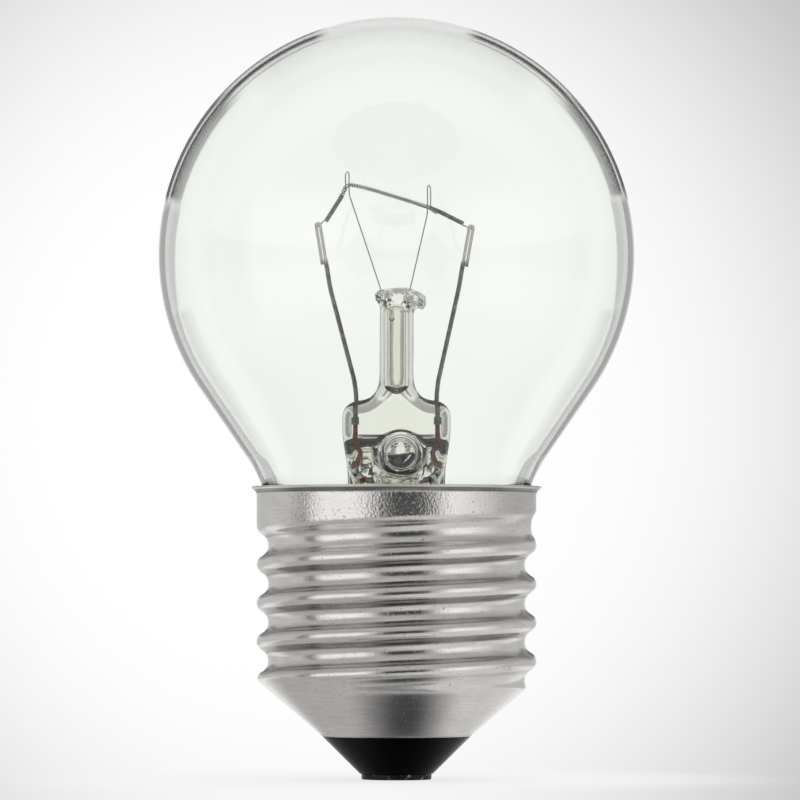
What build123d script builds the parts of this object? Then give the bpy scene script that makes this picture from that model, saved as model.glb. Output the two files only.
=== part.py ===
from build123d import *
import os
from math import cos, floor, radians, sin, sqrt, tan

os.makedirs("parts", exist_ok=True)

# A clear round incandescent lamp with a medium screw cap, in millimetres and degrees.
# The origin is the middle of the centre contact's outer face, and +Z runs up the axis to the crown.
# The flat of the glass press faces -Y, and left and right are -X and +X.

# Screw shell: one drawn and rolled sheet
cap_height = 27.6
shell_wall = 0.25
thread_diameter = 26.4
thread_pitch = 3.629
thread_depth = 1.096
groove_drop = 3.75  # from the rim down to the last groove, on the +X side
fade_start = -120.0  # where the last groove starts to run out, from +X
fade_end = 100.0  # where it has run out
lip_height = 0.9
lip_flare = 0.75
lip_curl = 2.4  # power of the height, so that the lip turns out late
edge_diameter = 13.9  # lower edge of the shell, round the insulator
edge_height = 4.05
cone_angle = 49.4  # foot of the shell, from the axis
foot_blend = 0.5  # rounding between the thread and the foot
half_turn_stations = 12  # sections in half a turn of the shell
profile_marks = 66  # points along one face of a section
slope_step = 0.01  # step in height that reads a section's slope

# Centre contact, its insulator and the solder
contact_diameter = 6.6
contact_thickness = 0.5
contact_edge = 0.15
eyelet_diameter = 1.7
eyelet_bore = 1.0
eyelet_reach = 1.6
solder_recess_diameter = 2.4
solder_recess_depth = 0.3
solder_sink = 0.03  # the solder stays this far inside the contact's face
insulator_foot_diameter = 6.9
insulator_foot_height = 0.55
insulator_depth = 2.6  # inside the shell, above its lower edge
insulator_dish = 0.8
insulator_rim = 1.0
solder_plug = 0.9  # the solder's reach up the eyelet
side_solder_angle = 105.0  # at the back of the rim, from +X
side_solder_diameter = 1.7
side_solder_drop = 0.4  # its middle below the wire

# Glass bulb
globe_diameter = 45.0
glass_wall = 0.6
shoulder_angle = 34.6  # below the globe, from the axis
shoulder_radius = 12.0
shoulder_rise = 1.6  # bend from shoulder to neck, above the rim
neck_angle = 21.0
neck_gap = 0.55  # to the shell at the foot of the lip
neck_clearance = 1.25  # from the sealed end to the thread's roots, with room for the side lead
neck_bend = 4.0
seal_depth = 11.6  # end of the neck, below the rim

# Glass stem: flare, press, arbor with its button, and the exhaust tube
flare_diameter = 9.2
flare_wall = 0.7
flare_bend = 5.2
flatten_rise = 0.0  # heights called rise are above the rim
press_rise = 6.4
press_top_rise = 8.2
press_width = 10.3
press_thickness = 3.6
press_corner = 1.6
press_crown = 1.3
hollow_rise = 3.3
hollow_slot = 1.6
hollow_slot_width = 7.4
arbor_diameter = 3.2
arbor_bore = 1.55
arbor_rise = 9.4
arbor_root = 6.0  # width of the arbor's root on top of the press
arbor_waist = 4.0
button_rise = 17.9
button_length = 4.9
button_width = 3.4
button_thickness = 1.7
button_edge = 0.75
button_tilt = 8.0
button_shift = 0.35
exhaust_diameter = 4.0
exhaust_bore = 2.6
exhaust_joint_rise = 1.2
exhaust_tip_gap = 4.2  # from the insulator up to the sealed tip
exhaust_taper = 3.0
exhaust_tip_diameter = 0.7
exhaust_tip_wall = 1.4
exhaust_bend = 1.5
blow_hole_rise = 3.45
blow_hole_sink = 0.25  # face of its boss, inside the flare's radius
blow_hole_edge = 0.3

# Wires
lead_diameter = 0.43
lead_foot = 3.8  # half the distance between the leads in the press
lead_bend_rise = 9.3
lead_bend = 8.0
lead_knee_rise = 18.7
lead_knee_bend = 12.0
left_knee_reach = 6.3
left_tip_reach = 7.3
left_tip_rise = 25.0
right_knee_reach = 5.9
right_tip_reach = 6.95
right_tip_rise = 24.8
clamp_length = 4.0
clamp_leg = 0.3
clamp_slot = 0.08
clamp_width = 0.66
clamp_round = 0.3
weld_rise = 6.3
weld_diameter = 0.64
weld_length = 0.7
seal_wire_diameter = 0.4
seal_wire_inset = 0.5  # how far the wire moves in below the press
seal_wire_bend_rise = 4.6
seal_wire_low_rise = 2.8
seal_wire_end_rise = 1.3
outer_lead_diameter = 0.35
outer_lead_bend = 1.2
centre_lead_turn = 1.8  # above the exhaust tip, where the wire turns in to the axis
centre_lead_drop = 1.6  # above the insulator, where it reaches the axis
side_lead_drop = 1.5  # under the flare
side_lead_step = 4.7  # below the lip's foot, where it leaves the thread
side_lead_lip_gap = 0.16
side_lead_glass_gap = 0.05
side_lead_overhang = 1.1
side_lead_bend = 0.3

# Filament and its supports
coil_diameter = 0.45
filament_wire = 0.07
coil_end_lift = 0.15  # above the clamp's tip
coil_end_inset = 0.6  # from the clamp's tip in towards the axis
coil_end_depth = 0.55  # depths are behind the plane of the leads
leg_stub = 0.45  # in front of the clamp
leg_overlap = 0.4  # inside the coil
left_hook_reach = 4.7
left_hook_rise = 28.5
right_hook_reach = 3.1
right_hook_rise = 26.75
hook_depth = 3.0
coil_hook_bend = 0.6
coil_end_bend = 0.15
support_diameter = 0.12
left_support_foot = 1.5
right_support_foot = 1.1
support_sink = 0.6  # into the button
support_bend = 2.0
left_loop_height = 1.5
right_loop_height = 2.0
loop_gap = 0.5
loop_bend = 0.45
loop_foot = 0.7
loop_tail = 0.6
loop_tail_drop = 0.35

# Cement between the neck and the shell
cement_drop = 1.1  # top of the cement below the rim
cement_band = 0.9
cement_slant = 1.7

# Clearances
seat_gap = 0.05  # round pieces seated in one another
round_share = 0.998  # a corner this near to a half width stands for a full round
wire_gap = 0.02  # wires in glass and solder


def lead_point(side, reach, rise, depth=0.0):
    """A point in the plane of the leads, or behind it: side is -1 or 1, rise is above the rim."""
    return Vector(side * reach, depth, cap_height + rise)


def bent_wire(points, bends, diameter):
    """A round wire on straight runs joined by tangent arcs."""
    with BuildPart() as wire:
        with BuildLine() as route:
            FilletPolyline(*points, radius=bends)
        with BuildSketch(Plane(route.line @ 0, z_dir=route.line % 0)):
            Circle(diameter / 2)
        sweep(path=route.line)
    return wire.part


# Screw shell: its radius is a formula of the turn about the axis and the height.
crest_radius = thread_diameter / 2
edge_radius = edge_diameter / 2
wave_radius = ((thread_pitch / 2) ** 2 + thread_depth**2) / (4 * thread_depth)
groove_top = cap_height - groove_drop
lip_foot = cap_height - lip_height
collar_bore = crest_radius - shell_wall
root_bore = crest_radius - thread_depth - shell_wall
foot_slope = tan(radians(cone_angle))


def thread_radius(turn, height):
    """Two tangent arcs to a pitch, deepest on a right-hand helix that runs out below the collar."""
    place = (height - groove_top) / thread_pitch - turn / 360
    lap = floor(place + 0.5)
    share = min(max((turn + 360 * lap - fade_start) / (fade_end - fade_start), 0), 1)
    strength = 1 - share**2 * (3 - 2 * share)
    off = abs(place - lap) * thread_pitch
    if off < thread_pitch / 4:
        wave = thread_depth - wave_radius + sqrt(wave_radius**2 - off**2)
    else:
        wave = wave_radius - sqrt(wave_radius**2 - (thread_pitch / 2 - off) ** 2)
    return crest_radius - strength * wave


def shell_radius(turn, height):
    """The thread and the flared lip, cut off below by the conical foot with a rounded meeting."""
    lip_share = max(height - lip_foot, 0) / lip_height
    barrel = thread_radius(turn, height) + lip_flare * lip_share**lip_curl
    foot = edge_radius + (height - edge_height) * foot_slope
    meeting = max(foot_blend - abs(barrel - foot), 0) / foot_blend
    return min(barrel, foot) - meeting**2 * foot_blend / 4


def shell_faces(turn):
    """Points of the outer face at one turn, and of the inner face a wall further in at each height."""
    outer, inner = [], []
    for mark in range(profile_marks):
        height = edge_height + (cap_height - edge_height) * mark / (profile_marks - 1)
        radius = shell_radius(turn, height)
        rise = shell_radius(turn, height + slope_step) - shell_radius(turn, height - slope_step)
        slope = rise / (2 * slope_step)
        outer.append(Vector(radius, height))
        inner.append(Vector(radius - shell_wall * sqrt(1 + slope**2), height))
    return outer, inner


with BuildPart() as screw_shell:
    even_marks = [mark / (profile_marks - 1) for mark in range(profile_marks)]
    for half in range(2):
        for station in range(half_turn_stations + 1):
            turn = 180 * (half + station / half_turn_stations)
            across = Vector(cos(radians(turn)), sin(radians(turn)), 0)
            outer, inner = shell_faces(turn)
            with BuildSketch(Plane((0, 0, 0), x_dir=across, z_dir=across.cross(Vector(0, 0, 1)))):
                with BuildLine():
                    add(Edge.make_spline(outer, parameters=even_marks))
                    Line(outer[-1], inner[-1])
                    add(Edge.make_spline(inner, parameters=even_marks))
                    Line(inner[0], outer[0])
                make_face()
        loft()

# Glass bulb: a globe, a conical shoulder and a neck that narrows inside the cap
globe_radius = globe_diameter / 2
neck_radius = root_bore - neck_clearance
shoulder = radians(shoulder_angle)
neck_slope = tan(radians(neck_angle))
seal_height = cap_height - seal_depth
neck_at_lip = collar_bore - neck_gap
bend_height = cap_height + shoulder_rise
bend_radius = neck_at_lip + (bend_height - lip_foot) * neck_slope
globe_height = bend_height + (globe_radius - bend_radius * cos(shoulder)) / sin(shoulder)
crown_height = globe_height + globe_radius
neck_bend_height = lip_foot - (neck_at_lip - neck_radius) / neck_slope
shoulder_start = (globe_radius * cos(shoulder), globe_height - globe_radius * sin(shoulder))

with BuildPart() as glass_envelope:
    with BuildSketch(Plane.XZ):
        with BuildLine():
            CenterArc((0, globe_height), globe_radius, -shoulder_angle, 90 + shoulder_angle)
            FilletPolyline(
                shoulder_start,
                (bend_radius, bend_height),
                (neck_radius, neck_bend_height),
                (neck_radius, seal_height),
                radius=[shoulder_radius, neck_bend],
            )
            Polyline((neck_radius, seal_height), (0, seal_height), (0, crown_height))
        make_face()
    revolve(axis=Axis.Z)
    offset(amount=-glass_wall, openings=glass_envelope.faces().sort_by(Axis.Z)[0])

# Routes of the wires, for the left (-1) and the right (1)
up = Vector(0, 0, 1)
knees = {
    -1: lead_point(-1, left_knee_reach, lead_knee_rise),
    1: lead_point(1, right_knee_reach, lead_knee_rise),
}
tips = {
    -1: lead_point(-1, left_tip_reach, left_tip_rise),
    1: lead_point(1, right_tip_reach, right_tip_rise),
}
hooks = {
    -1: lead_point(-1, left_hook_reach, left_hook_rise, hook_depth),
    1: lead_point(1, right_hook_reach, right_hook_rise, hook_depth),
}
button_height = cap_height + button_rise
button_plane = Plane((button_shift, 0, button_height)).rotated((0, button_tilt, 0))
support_feet = {-1: -left_support_foot, 1: right_support_foot}
loop_heights = {-1: left_loop_height, 1: right_loop_height}
clamp_fold = 2 * clamp_leg + clamp_slot
support_bends = [support_bend, loop_bend, loop_bend, loop_bend / 2]
seal_routes, clamps, eyes, coil_ends, support_routes = {}, {}, {}, {}, {}

for side in (-1, 1):
    seal_routes[side] = [
        lead_point(side, lead_foot, weld_rise - weld_length / 2),
        lead_point(side, lead_foot, seal_wire_bend_rise),
        lead_point(side, lead_foot - seal_wire_inset, seal_wire_low_rise),
        lead_point(side, lead_foot - seal_wire_inset, seal_wire_end_rise),
    ]
    along = (tips[side] - knees[side]).normalized()
    outward = Vector(side * along.Z, 0, -side * along.X)
    clamps[side] = Plane(tips[side], x_dir=outward, z_dir=outward.cross(along))
    eyes[side] = clamps[side].from_local_coords(
        Vector((clamp_leg + clamp_slot) / 2, -clamp_leg - filament_wire, 0)
    )
    coil_ends[side] = tips[side] + Vector(-side * coil_end_inset, coil_end_depth, coil_end_lift)

for side in (-1, 1):
    along = (hooks[side] - coil_ends[side]).normalized() + (hooks[-side] - hooks[side]).normalized()
    across = up.cross(along * -side).normalized() * loop_gap
    foot = button_plane.from_local_coords(
        Vector(support_feet[side] - button_shift, 0, button_thickness / 2 - support_sink)
    )
    tail = hooks[side] + across - up * loop_tail_drop
    support_routes[side] = [
        foot,
        hooks[side] - across - up * loop_foot,
        hooks[side] - across + up * loop_heights[side],
        hooks[side] + across + up * loop_heights[side],
        tail,
        tail + Vector(side * loop_tail, 0, -loop_tail_drop),
    ]

# Routes of the outer leads: one to the rim of the shell, one to the centre contact
insulator_top = edge_height + insulator_depth
exhaust_tip = insulator_top + exhaust_tip_gap
solder_turn = radians(side_solder_angle)
side_lead_radius = (neck_radius + root_bore) / 2
side_lead_low = seal_height - flare_wall - side_lead_drop
rim_wire_radius = outer_lead_diameter / 2
over_lip = cap_height + side_lead_lip_gap + rim_wire_radius
beside_glass = (rim_wire_radius + side_lead_glass_gap) / cos(radians(neck_angle))


def rim_point(radius, height):
    """A point in the upright plane of the side solder."""
    return Vector(radius * cos(solder_turn), radius * sin(solder_turn), height)


def neck_at(height):
    """Outer radius of the neck's conical part."""
    return neck_at_lip + (height - lip_foot) * neck_slope


def beside_neck(height):
    """A point in the gap beside the neck, where the wire is clear of the glass."""
    return rim_point(neck_at(height) + beside_glass, height)


side_route = [
    seal_routes[-1][-1],
    Vector(seal_routes[-1][-1].X, 0, side_lead_low),
    rim_point(side_lead_radius, side_lead_low),
    rim_point(side_lead_radius, lip_foot - side_lead_step),
    beside_neck(lip_foot - lip_height / 2),
    beside_neck(over_lip),
    rim_point(neck_at(over_lip) + beside_glass + side_lead_overhang, over_lip),
]
side_bends = [outer_lead_bend] * 4 + [side_lead_bend]
centre_x = seal_routes[1][-1].X
centre_route = [
    seal_routes[1][-1],
    Vector(centre_x, 0, exhaust_tip + centre_lead_turn),
    Vector(0, 0, insulator_top + centre_lead_drop),
    Vector(0, 0, solder_recess_depth / 2),
]

# Wires, and the channels that they leave in glass, solder and cement
wire_forms = {
    "seal_wire_left": (seal_routes[-1], outer_lead_bend, seal_wire_diameter),
    "seal_wire_right": (seal_routes[1], outer_lead_bend, seal_wire_diameter),
    "support_wire_left": (support_routes[-1], support_bends, support_diameter),
    "support_wire_right": (support_routes[1], support_bends, support_diameter),
    "outer_lead_side": (side_route, side_bends, outer_lead_diameter),
    "outer_lead_centre": (centre_route, outer_lead_bend, outer_lead_diameter),
}
wires, channels = {}, {}
for name, (points, bends, diameter) in wire_forms.items():
    wires[name] = bent_wire(points, bends, diameter)
    channels[name] = bent_wire(points, bends, diameter + 2 * wire_gap)

# Glass stem: a flare that carries the bulb, pressed flat round the lead wires at its top
flare_radius = flare_diameter / 2
hollow_radius = flare_radius - flare_wall
bell_bend = min(flare_bend, (neck_radius - flare_radius) * round_share)
press_round = min(press_corner, press_thickness / 2 * round_share)
flatten_height = cap_height + flatten_rise
press_height = cap_height + press_rise
press_top = cap_height + press_top_rise
hollow_top = cap_height + hollow_rise
arbor_height = cap_height + arbor_rise
blow_hole_height = cap_height + blow_hole_rise
blow_hole_reach = flare_radius - blow_hole_sink
blow_hole_round = min(blow_hole_edge, (exhaust_diameter - exhaust_bore) / 4 * round_share)
exhaust_joint = cap_height + exhaust_joint_rise
weld_height = cap_height + weld_rise
blow_hole_face = Plane((0, -blow_hole_reach, blow_hole_height), x_dir=(1, 0, 0), z_dir=(0, -1, 0))

with BuildPart() as stem_press:
    # The flare's bell, with the rim that the neck is fused to
    with BuildSketch(Plane.XZ):
        with BuildLine():
            FilletPolyline(
                (flare_radius, flatten_height),
                (flare_radius, seal_height),
                (neck_radius, seal_height),
                radius=bell_bend,
            )
            Line((neck_radius, seal_height), (neck_radius, seal_height - flare_wall))
            FilletPolyline(
                (neck_radius, seal_height - flare_wall),
                (hollow_radius, seal_height - flare_wall),
                (hollow_radius, flatten_height),
                radius=bell_bend + flare_wall,
            )
            Line((hollow_radius, flatten_height), (flare_radius, flatten_height))
        make_face()
    revolve(axis=Axis.Z)
    # The tube flattens into the press
    with BuildSketch(Plane.XY.offset(flatten_height)):
        RectangleRounded(flare_diameter, flare_diameter, flare_radius * round_share)
    with BuildSketch(Plane.XY.offset(press_height)):
        RectangleRounded(press_width, press_thickness, press_round)
    loft()
    with BuildSketch(Plane.XY.offset(press_height)):
        RectangleRounded(press_width, press_thickness, press_round)
    extrude(amount=press_top - press_height)
    fillet(stem_press.faces().sort_by(Axis.Z)[-1].edges(), press_crown)
    # The root of the arbor
    with BuildSketch(Plane.XY.offset(press_top - press_crown)):
        Ellipse(arbor_root / 2, press_thickness / 2 - wire_gap)
    with BuildSketch(Plane.XY.offset(press_top)):
        Ellipse(arbor_waist / 2, arbor_diameter / 2)
    with BuildSketch(Plane.XY.offset(arbor_height)):
        Circle(arbor_diameter / 2)
    loft()
    # The hollow under the press narrows to a slot
    with BuildSketch(Plane.XY.offset(flatten_height)):
        RectangleRounded(2 * hollow_radius, 2 * hollow_radius, hollow_radius * round_share)
    with BuildSketch(Plane.XY.offset(hollow_top)):
        RectangleRounded(hollow_slot_width, hollow_slot, hollow_slot / 2 * round_share)
    loft(mode=Mode.SUBTRACT)
    # The exhaust tube's joint, and the boss of the hole that opens to the front
    with BuildSketch(Plane.XY.offset(exhaust_joint)):
        Circle(exhaust_diameter / 2)
    extrude(amount=hollow_top - exhaust_joint)
    with BuildSketch(blow_hole_face):
        Circle(exhaust_diameter / 2)
    extrude(amount=-blow_hole_reach)
    with BuildSketch(blow_hole_face):
        Circle(exhaust_bore / 2)
    extrude(amount=-blow_hole_reach, mode=Mode.SUBTRACT)
    fillet(stem_press.faces().sort_by(Axis.Y)[0].edges(), blow_hole_round)
    with BuildSketch(Plane.XY.offset(exhaust_joint)):
        Circle(exhaust_bore / 2)
    extrude(amount=blow_hole_height - exhaust_joint, mode=Mode.SUBTRACT)
    # The closed lower end of the arbor's bore
    with Locations((0, 0, arbor_height)):
        Sphere(arbor_bore / 2, mode=Mode.SUBTRACT)
    # Holes for the wires
    for side in (-1, 1):
        with Locations(lead_point(side, lead_foot, weld_rise)):
            Cylinder(weld_diameter / 2 + wire_gap, weld_length + 2 * wire_gap, mode=Mode.SUBTRACT)
            Cylinder(
                lead_diameter / 2 + wire_gap,
                press_top - weld_height,
                align=(Align.CENTER, Align.CENTER, Align.MIN),
                mode=Mode.SUBTRACT,
            )
    for hand in ("left", "right"):
        add(channels[f"seal_wire_{hand}"], mode=Mode.SUBTRACT)

with BuildPart() as arbor_tube:
    with BuildSketch(button_plane):
        Ellipse(button_length / 2, button_width / 2)
    extrude(amount=button_thickness / 2, both=True)
    fillet(arbor_tube.edges(), min(button_edge, button_thickness / 2 * round_share))
    with BuildSketch(Plane.XY.offset(arbor_height)):
        Circle(arbor_diameter / 2)
    extrude(amount=button_height - arbor_height)
    with BuildSketch(Plane.XY.offset(arbor_height)):
        Circle(arbor_bore / 2)
    extrude(amount=button_height - button_thickness - arbor_height, mode=Mode.SUBTRACT)
    for hand in ("left", "right"):
        add(channels[f"support_wire_{hand}"], mode=Mode.SUBTRACT)

# Exhaust tube: drawn out and sealed at its lower end, inside the cap

with BuildPart() as exhaust_tube:
    with BuildSketch(Plane.XZ):
        with BuildLine():
            FilletPolyline(
                (exhaust_diameter / 2, exhaust_joint),
                (exhaust_diameter / 2, exhaust_tip + exhaust_taper),
                (exhaust_tip_diameter / 2, exhaust_tip),
                (0, exhaust_tip),
                radius=[exhaust_bend, exhaust_tip_diameter / 4],
            )
            Line((0, exhaust_tip), (0, exhaust_tip + exhaust_tip_wall))
            FilletPolyline(
                (0, exhaust_tip + exhaust_tip_wall),
                (exhaust_bore / 2, exhaust_tip + exhaust_tip_wall + exhaust_taper),
                (exhaust_bore / 2, exhaust_joint),
                radius=exhaust_bend,
            )
            Line((exhaust_bore / 2, exhaust_joint), (exhaust_diameter / 2, exhaust_joint))
        make_face()
    revolve(axis=Axis.Z)

# Inner leads: each has a weld knot in the press and a clamp folded over the filament's leg
for side, hand in ((-1, "left"), (1, "right")):
    clamp_foot = tips[side] - (tips[side] - knees[side]).normalized() * (clamp_length - lead_diameter)
    lead_route = [
        lead_point(side, lead_foot, weld_rise),
        lead_point(side, lead_foot, lead_bend_rise),
        knees[side],
        clamp_foot,
    ]
    lead_wire = bent_wire(lead_route, [lead_bend, lead_knee_bend], lead_diameter)
    with BuildPart() as inner_lead:
        add(lead_wire)
        with BuildSketch(clamps[side]) as fold:
            with Locations(((clamp_leg + clamp_slot) / 2, -clamp_length / 2)):
                Rectangle(clamp_fold, clamp_length)
            fillet(fold.vertices().group_by(Axis.Y)[-1], min(clamp_round, clamp_fold / 2 * round_share))
            with Locations(((clamp_leg + clamp_slot) / 2, -clamp_length)):
                Rectangle(
                    clamp_slot,
                    clamp_length - clamp_leg,
                    align=(Align.CENTER, Align.MIN),
                    mode=Mode.SUBTRACT,
                )
        extrude(amount=clamp_width / 2, both=True)
        with Locations(lead_point(side, lead_foot, weld_rise)):
            Cylinder(weld_diameter / 2, weld_length)
    wires[f"inner_lead_{hand}"] = inner_lead.part

# Filament: the coil as a rod of its outer size, with a straight leg through each clamp
coil_route = [coil_ends[-1], hooks[-1], hooks[1], coil_ends[1]]
coil_parts = [bent_wire(coil_route, coil_hook_bend, coil_diameter)]
for side in (-1, 1):
    inward = (hooks[side] - coil_ends[side]).normalized() * leg_overlap
    leg_route = [
        eyes[side] - Vector(0, leg_stub, 0),
        eyes[side] + Vector(0, coil_end_depth, 0),
        coil_ends[side],
        coil_ends[side] + inward,
    ]
    coil_parts.append(bent_wire(leg_route, coil_end_bend, filament_wire))

with BuildPart() as filament:
    for coil_part in coil_parts:
        add(coil_part)

# Insulator: a plug moulded into the foot of the shell, with a dished top and a hole for the eyelet
foot_lean = radians(cone_angle)
insulator_shoulder = edge_height - seat_gap
shell_foot_bore = edge_radius - shell_wall / cos(foot_lean) - seat_gap / cos(foot_lean)
insulator_bore = eyelet_diameter / 2 + seat_gap


def foot_bore(height):
    """Radius of the plug where it fills the shell's conical foot."""
    return shell_foot_bore + (height - edge_height) * foot_slope


with BuildPart() as insulator:
    with BuildSketch(Plane.XZ):
        with BuildLine():
            Polyline(
                (insulator_bore, insulator_foot_height),
                (insulator_foot_diameter / 2, insulator_foot_height),
                (edge_radius, insulator_shoulder),
                (foot_bore(insulator_shoulder), insulator_shoulder),
                (foot_bore(insulator_top), insulator_top),
                (foot_bore(insulator_top) - insulator_rim, insulator_top),
                (foot_bore(insulator_top) - insulator_rim - insulator_dish, insulator_top - insulator_dish),
                (insulator_bore, insulator_top - insulator_dish),
                close=True,
            )
        make_face()
    revolve(axis=Axis.Z)

# Contact: a stamped disc with an eyelet that holds it in the insulator
with BuildPart() as contact_plate:
    with BuildSketch(Plane.XY):
        Circle(contact_diameter / 2)
    extrude(amount=contact_thickness)
    fillet(contact_plate.edges().group_by(Axis.Z)[0], contact_edge)
    with BuildSketch(Plane.XY.offset(contact_thickness)):
        Circle(eyelet_diameter / 2)
    extrude(amount=eyelet_reach)
    with BuildSketch(Plane.XY):
        Circle(eyelet_bore / 2)
    extrude(amount=contact_thickness + eyelet_reach, mode=Mode.SUBTRACT)
    with BuildSketch(Plane.XY):
        Circle(solder_recess_diameter / 2)
    extrude(amount=solder_recess_depth, mode=Mode.SUBTRACT)

# Solder: a plug in the eyelet, and a drop on the rim
with BuildPart() as centre_solder:
    with BuildSketch(Plane.XY.offset(solder_sink)):
        Circle(solder_recess_diameter / 2 - wire_gap)
    extrude(amount=solder_recess_depth - wire_gap - solder_sink)
    with BuildSketch(Plane.XY.offset(solder_sink)):
        Circle(eyelet_bore / 2 - wire_gap)
    extrude(amount=solder_plug)
    add(channels["outer_lead_centre"], mode=Mode.SUBTRACT)

with BuildPart() as side_solder:
    lip_radius = crest_radius + lip_flare
    with Locations(rim_point(lip_radius + outer_lead_diameter, over_lip - side_solder_drop)):
        Sphere(side_solder_diameter / 2)
    with BuildSketch(Plane.XZ):
        with BuildLine():
            Polyline(
                (0, lip_foot),
                (crest_radius + seat_gap, lip_foot),
                (lip_radius + 2 * seat_gap, cap_height - seat_gap),
                (lip_radius + seat_gap, cap_height + seat_gap),
                (0, cap_height + seat_gap),
                close=True,
            )
        make_face()
    revolve(axis=Axis.Z, mode=Mode.SUBTRACT)
    add(channels["outer_lead_side"], mode=Mode.SUBTRACT)

# Cement: a ring that holds the neck in the shell
cement_top = cap_height - cement_drop
cement_low = neck_bend_height + neck_bend * tan(radians(neck_angle / 2))
cement_side = seat_gap / cos(radians(neck_angle))

with BuildPart() as basing_cement:
    with BuildSketch(Plane.XZ):
        with BuildLine():
            Polyline(
                (neck_at(cement_top) + cement_side, cement_top),
                (collar_bore - seat_gap, cement_top),
                (collar_bore - seat_gap, cement_top - cement_band),
                (root_bore - seat_gap, cement_top - cement_band - cement_slant),
                (root_bore - seat_gap, cement_low),
                (neck_at(cement_low) + cement_side, cement_low),
                close=True,
            )
        make_face()
    revolve(axis=Axis.Z)
    add(channels["outer_lead_side"], mode=Mode.SUBTRACT)

pieces = {
    "glass_envelope": glass_envelope.part,
    "stem_press": stem_press.part,
    "arbor_tube": arbor_tube.part,
    "exhaust_tube": exhaust_tube.part,
    "filament": filament.part,
    "screw_shell": screw_shell.part,
    "basing_cement": basing_cement.part,
    "insulator": insulator.part,
    "contact_plate": contact_plate.part,
    "centre_solder": centre_solder.part,
    "side_solder": side_solder.part,
    **wires,
}
for name, piece in pieces.items():
    piece.label = name
    export_step(piece, f"parts/{name}.step")
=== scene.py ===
# %% [markdown]
# # A clear round lamp with a screw cap
# The solids of the lamp come packed from the CAD model, each in its true place. This lesson opens them in
# Blender and gives the glass, the rolled cap and the coil the forms that only a fine mesh can carry. Then
# every piece gets a procedural finish, and the lamp stands on a pale table in soft light, as it was
# photographed.

import bpy
import numpy as np
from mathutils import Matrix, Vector


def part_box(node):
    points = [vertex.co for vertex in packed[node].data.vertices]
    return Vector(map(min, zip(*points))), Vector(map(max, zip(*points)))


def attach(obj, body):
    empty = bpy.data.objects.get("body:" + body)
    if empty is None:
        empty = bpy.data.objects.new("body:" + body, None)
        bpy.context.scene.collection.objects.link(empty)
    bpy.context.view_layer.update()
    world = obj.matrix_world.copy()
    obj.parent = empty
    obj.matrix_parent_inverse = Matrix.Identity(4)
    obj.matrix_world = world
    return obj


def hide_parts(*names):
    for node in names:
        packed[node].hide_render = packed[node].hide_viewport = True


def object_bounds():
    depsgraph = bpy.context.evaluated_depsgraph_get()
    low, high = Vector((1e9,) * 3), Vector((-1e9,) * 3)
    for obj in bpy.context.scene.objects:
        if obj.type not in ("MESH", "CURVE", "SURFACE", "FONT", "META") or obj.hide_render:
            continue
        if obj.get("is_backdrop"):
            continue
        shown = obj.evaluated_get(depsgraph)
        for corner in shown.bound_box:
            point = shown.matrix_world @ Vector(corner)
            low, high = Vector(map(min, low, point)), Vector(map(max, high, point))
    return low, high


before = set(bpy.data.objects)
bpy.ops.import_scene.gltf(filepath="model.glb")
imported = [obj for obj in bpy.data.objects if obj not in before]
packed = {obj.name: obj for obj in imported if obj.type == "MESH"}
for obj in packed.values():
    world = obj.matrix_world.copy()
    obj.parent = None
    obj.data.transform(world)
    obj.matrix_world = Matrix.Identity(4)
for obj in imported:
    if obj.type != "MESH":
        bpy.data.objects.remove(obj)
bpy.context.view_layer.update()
mm = 0.001
print("nodes:", len(packed))

# %% [markdown]
# ## Pieces from grids
# Glass and rolled metal show every flat facet, so their surfaces are worked out as grids of points, fine
# enough for smooth highlights. A grid has rows along a profile or a path, and columns round it. It could
# be built with a Screw or a Curve modifier, but a grid of numbers lets the same formula as in the CAD
# model place each point.

# %% Grids to meshes


def grid_surface(points, ring=False):
    """Quads between the rows and columns of a grid, whose columns close round. The last row of a ring closes
    on its first row; otherwise triangles close each end row to its middle point."""
    rows, columns = points.shape[:2]
    here = np.arange(rows * columns).reshape(rows, columns)
    beside = np.roll(here, -1, axis=1)
    quads = np.stack([here, beside, np.roll(beside, -1, axis=0), np.roll(here, -1, axis=0)], axis=-1)
    corners = points.reshape(-1, 3)
    if ring:
        return corners, quads.reshape(-1, 4), np.zeros((0, 3), int)
    corners = np.vstack([corners, points[0].mean(axis=0), points[-1].mean(axis=0)])
    low_middle = np.full(columns, rows * columns)
    low = np.stack([beside[0], here[0], low_middle], axis=-1)
    high = np.stack([here[-1], beside[-1], low_middle + 1], axis=-1)
    return corners, quads[:-1].reshape(-1, 4), np.vstack([low, high])


def join_surfaces(surfaces):
    """Several surfaces side by side in one, each surface's corner numbers moved past those before it."""
    starts = np.cumsum([0] + [len(points) for points, quads, triangles in surfaces])
    points = np.vstack([surface[0] for surface in surfaces])
    quads = np.vstack([surface[1] + start for surface, start in zip(surfaces, starts)])
    triangles = np.vstack([surface[2] + start for surface, start in zip(surfaces, starts)])
    return points, quads, triangles


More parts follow.
